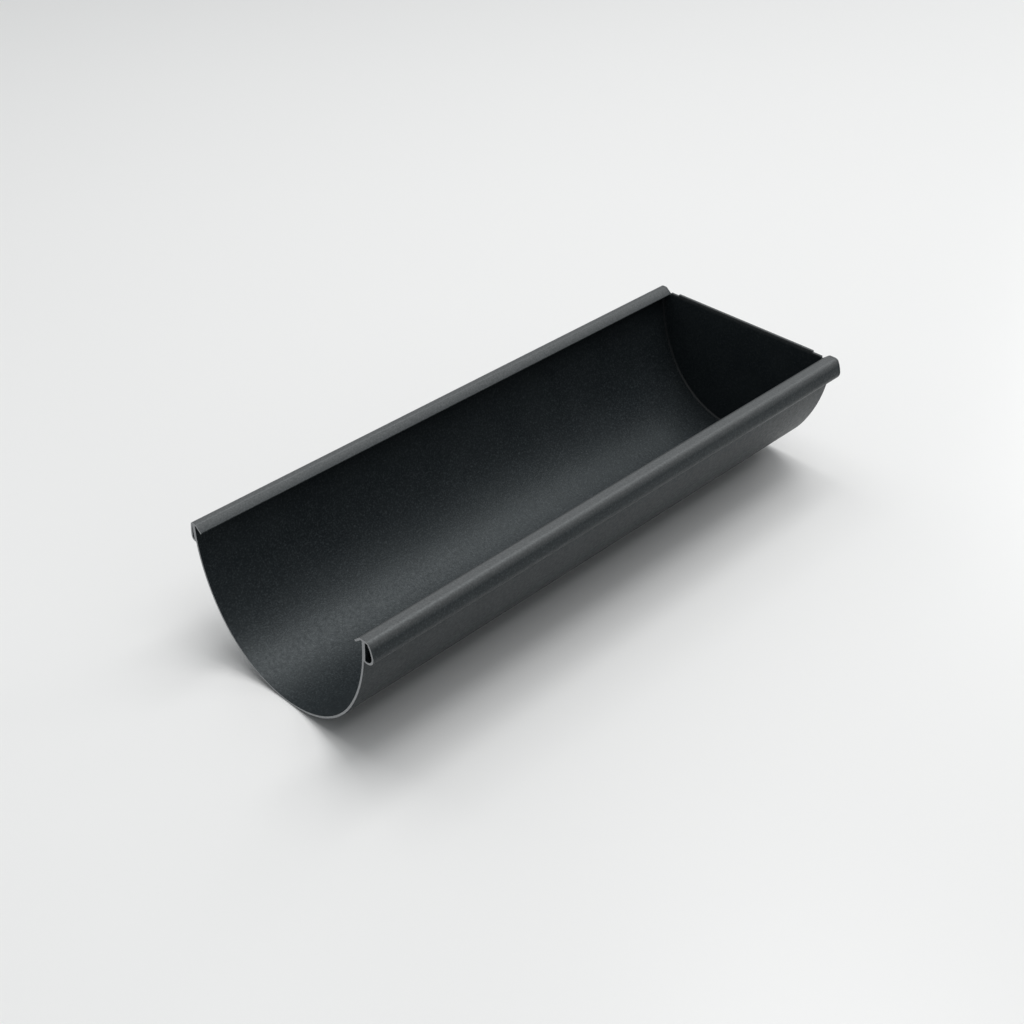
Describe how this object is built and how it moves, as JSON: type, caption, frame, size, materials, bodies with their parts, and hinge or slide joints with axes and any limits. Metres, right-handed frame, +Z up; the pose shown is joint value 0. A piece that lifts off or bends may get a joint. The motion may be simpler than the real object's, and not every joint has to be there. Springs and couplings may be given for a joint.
{
  "type": "gutter section",
  "caption": "Deep half-round gutter section with a hollow beaded rim and inner lip along both edges, open at one end and closed by a flat sealed plate at the other.",
  "frame": {"origin": "under the middle of the bounding box, at the level of the trough's lowest line", "axes": "+X along the gutter from the open end to the stop end, +Y from the front bead to the back bead, +Z up"},
  "size_m": [0.3516, 0.1338, 0.0756],
  "materials": {
    "coated_profile": "matt, finely textured anthracite powder coat on extruded aluminium, bare metal on the sawn edges",
    "coated_plate": "matt, finely textured anthracite powder coat on aluminium plate",
    "sealant": "tooled dark grey sealant, satin"
  },
  "bodies": {
    "root": {"gutter_trough": "coated_profile", "stop_end": "coated_plate", "seal_bead": "sealant"}
  },
  "joints": []
}
